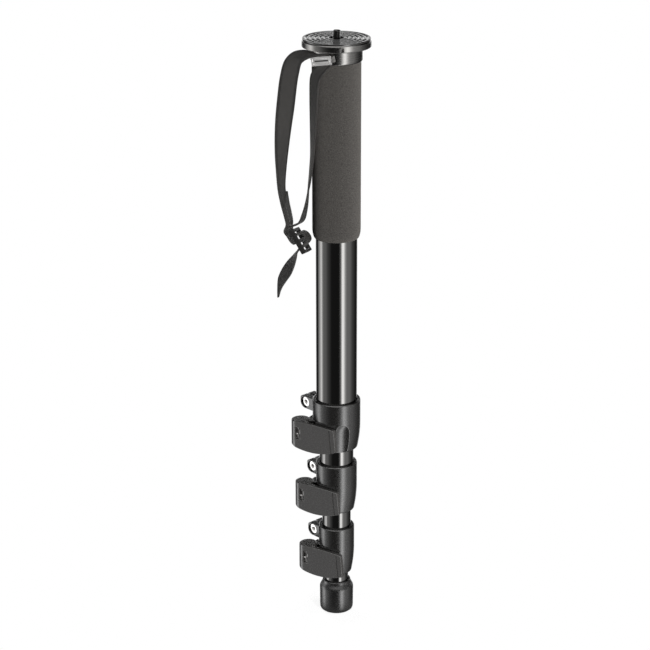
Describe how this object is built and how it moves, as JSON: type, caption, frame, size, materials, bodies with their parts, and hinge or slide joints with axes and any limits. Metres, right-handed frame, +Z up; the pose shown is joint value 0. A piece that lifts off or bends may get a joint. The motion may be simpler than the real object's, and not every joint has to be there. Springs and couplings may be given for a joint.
{
  "type": "camera monopod",
  "caption": "Telescopic camera monopod with cam lever locks, a foam grip, a round ringed platform with a camera stud, a rubber foot and a wrist strap.",
  "frame": {"origin": "middle of the foot's flat underside, on the tubes' axis", "axes": "+Z up along the tubes to the camera stud, -Y towards the front of the picture, +X to its right"},
  "size_m": [0.0787, 0.0611, 0.5154],
  "materials": {
    "rubber_black": "satin moulded rubber",
    "plug_grey": "moulded plastic",
    "tube_black": "glossy black anodised",
    "liner_white": "plain moulded plastic",
    "collar_black": "satin black nylon",
    "lever_grey": "matte dark grey nylon",
    "bright_steel": "bright plated steel",
    "foam_grey": "closed cell foam, finely pored",
    "head_black": "satin black anodised, turned",
    "plug_metal": "bare turned",
    "pad_grey": "ringed rubber",
    "dark_steel": "blackened steel",
    "loop_chrome": "polished",
    "webbing_black": "woven nylon webbing",
    "slider_black": "satin moulded plastic"
  },
  "bodies": {
    "foot_section": {"foot": "rubber_black", "foot_plug": "plug_grey", "tube_4": "tube_black", "guide_bush_4": "liner_white"},
    "section_3": {"tube_3": "tube_black", "guide_bush_3": "liner_white", "lock_collar_3": "collar_black", "lock_sleeve_3": "liner_white", "clamp_screw_3": "bright_steel", "clamp_nut_3": "bright_steel", "barrel_pin_3": "bright_steel", "tension_bolt_3": "bright_steel", "tension_nut_3": "bright_steel"},
    "lever_3": {"lock_lever_3": "lever_grey"},
    "section_2": {"tube_2": "tube_black", "guide_bush_2": "liner_white", "lock_collar_2": "collar_black", "lock_sleeve_2": "liner_white", "clamp_screw_2": "bright_steel", "clamp_nut_2": "bright_steel", "barrel_pin_2": "bright_steel", "tension_bolt_2": "bright_steel", "tension_nut_2": "bright_steel"},
    "lever_2": {"lock_lever_2": "lever_grey"},
    "upper_section": {"tube_1": "tube_black", "lock_collar_1": "collar_black", "lock_sleeve_1": "liner_white", "clamp_screw_1": "bright_steel", "clamp_nut_1": "bright_steel", "barrel_pin_1": "bright_steel", "tension_bolt_1": "bright_steel", "tension_nut_1": "bright_steel", "grip": "foam_grey", "neck": "head_black", "top_plug": "plug_metal", "top_plate": "head_black", "plate_pad": "pad_grey", "camera_screw": "dark_steel", "set_screw": "dark_steel", "strap_loop": "loop_chrome", "strap_front": "webbing_black", "strap_back": "webbing_black", "strap_slider": "slider_black"},
    "lever_1": {"lock_lever_1": "lever_grey"}
  },
  "joints": [
    {"name": "section_3_slide", "type": "slide", "parent": "foot_section", "child": "section_3", "axis": [0, 0, 1], "range_m": [0, 0.3992]},
    {"name": "section_2_slide", "type": "slide", "parent": "section_3", "child": "section_2", "axis": [0, 0, 1], "range_m": [0, 0.3398]},
    {"name": "upper_section_slide", "type": "slide", "parent": "section_2", "child": "upper_section", "axis": [0, 0, 1], "range_m": [0, 0.282]},
    {"name": "lever_3_hinge", "type": "hinge", "parent": "section_3", "child": "lever_3", "pos_m": [-0.02492, 0.00203, 0.0487], "axis": [0, 0, 1], "range_deg": [-100, 0]},
    {"name": "lever_2_hinge", "type": "hinge", "parent": "section_2", "child": "lever_2", "pos_m": [-0.02793, 0.00123, 0.1081], "axis": [0, 0, 1], "range_deg": [-100, 0]},
    {"name": "lever_1_hinge", "type": "hinge", "parent": "upper_section", "child": "lever_1", "pos_m": [-0.03093, 0.00042, 0.1659], "axis": [0, 0, 1], "range_deg": [-100, 0]}
  ]
}
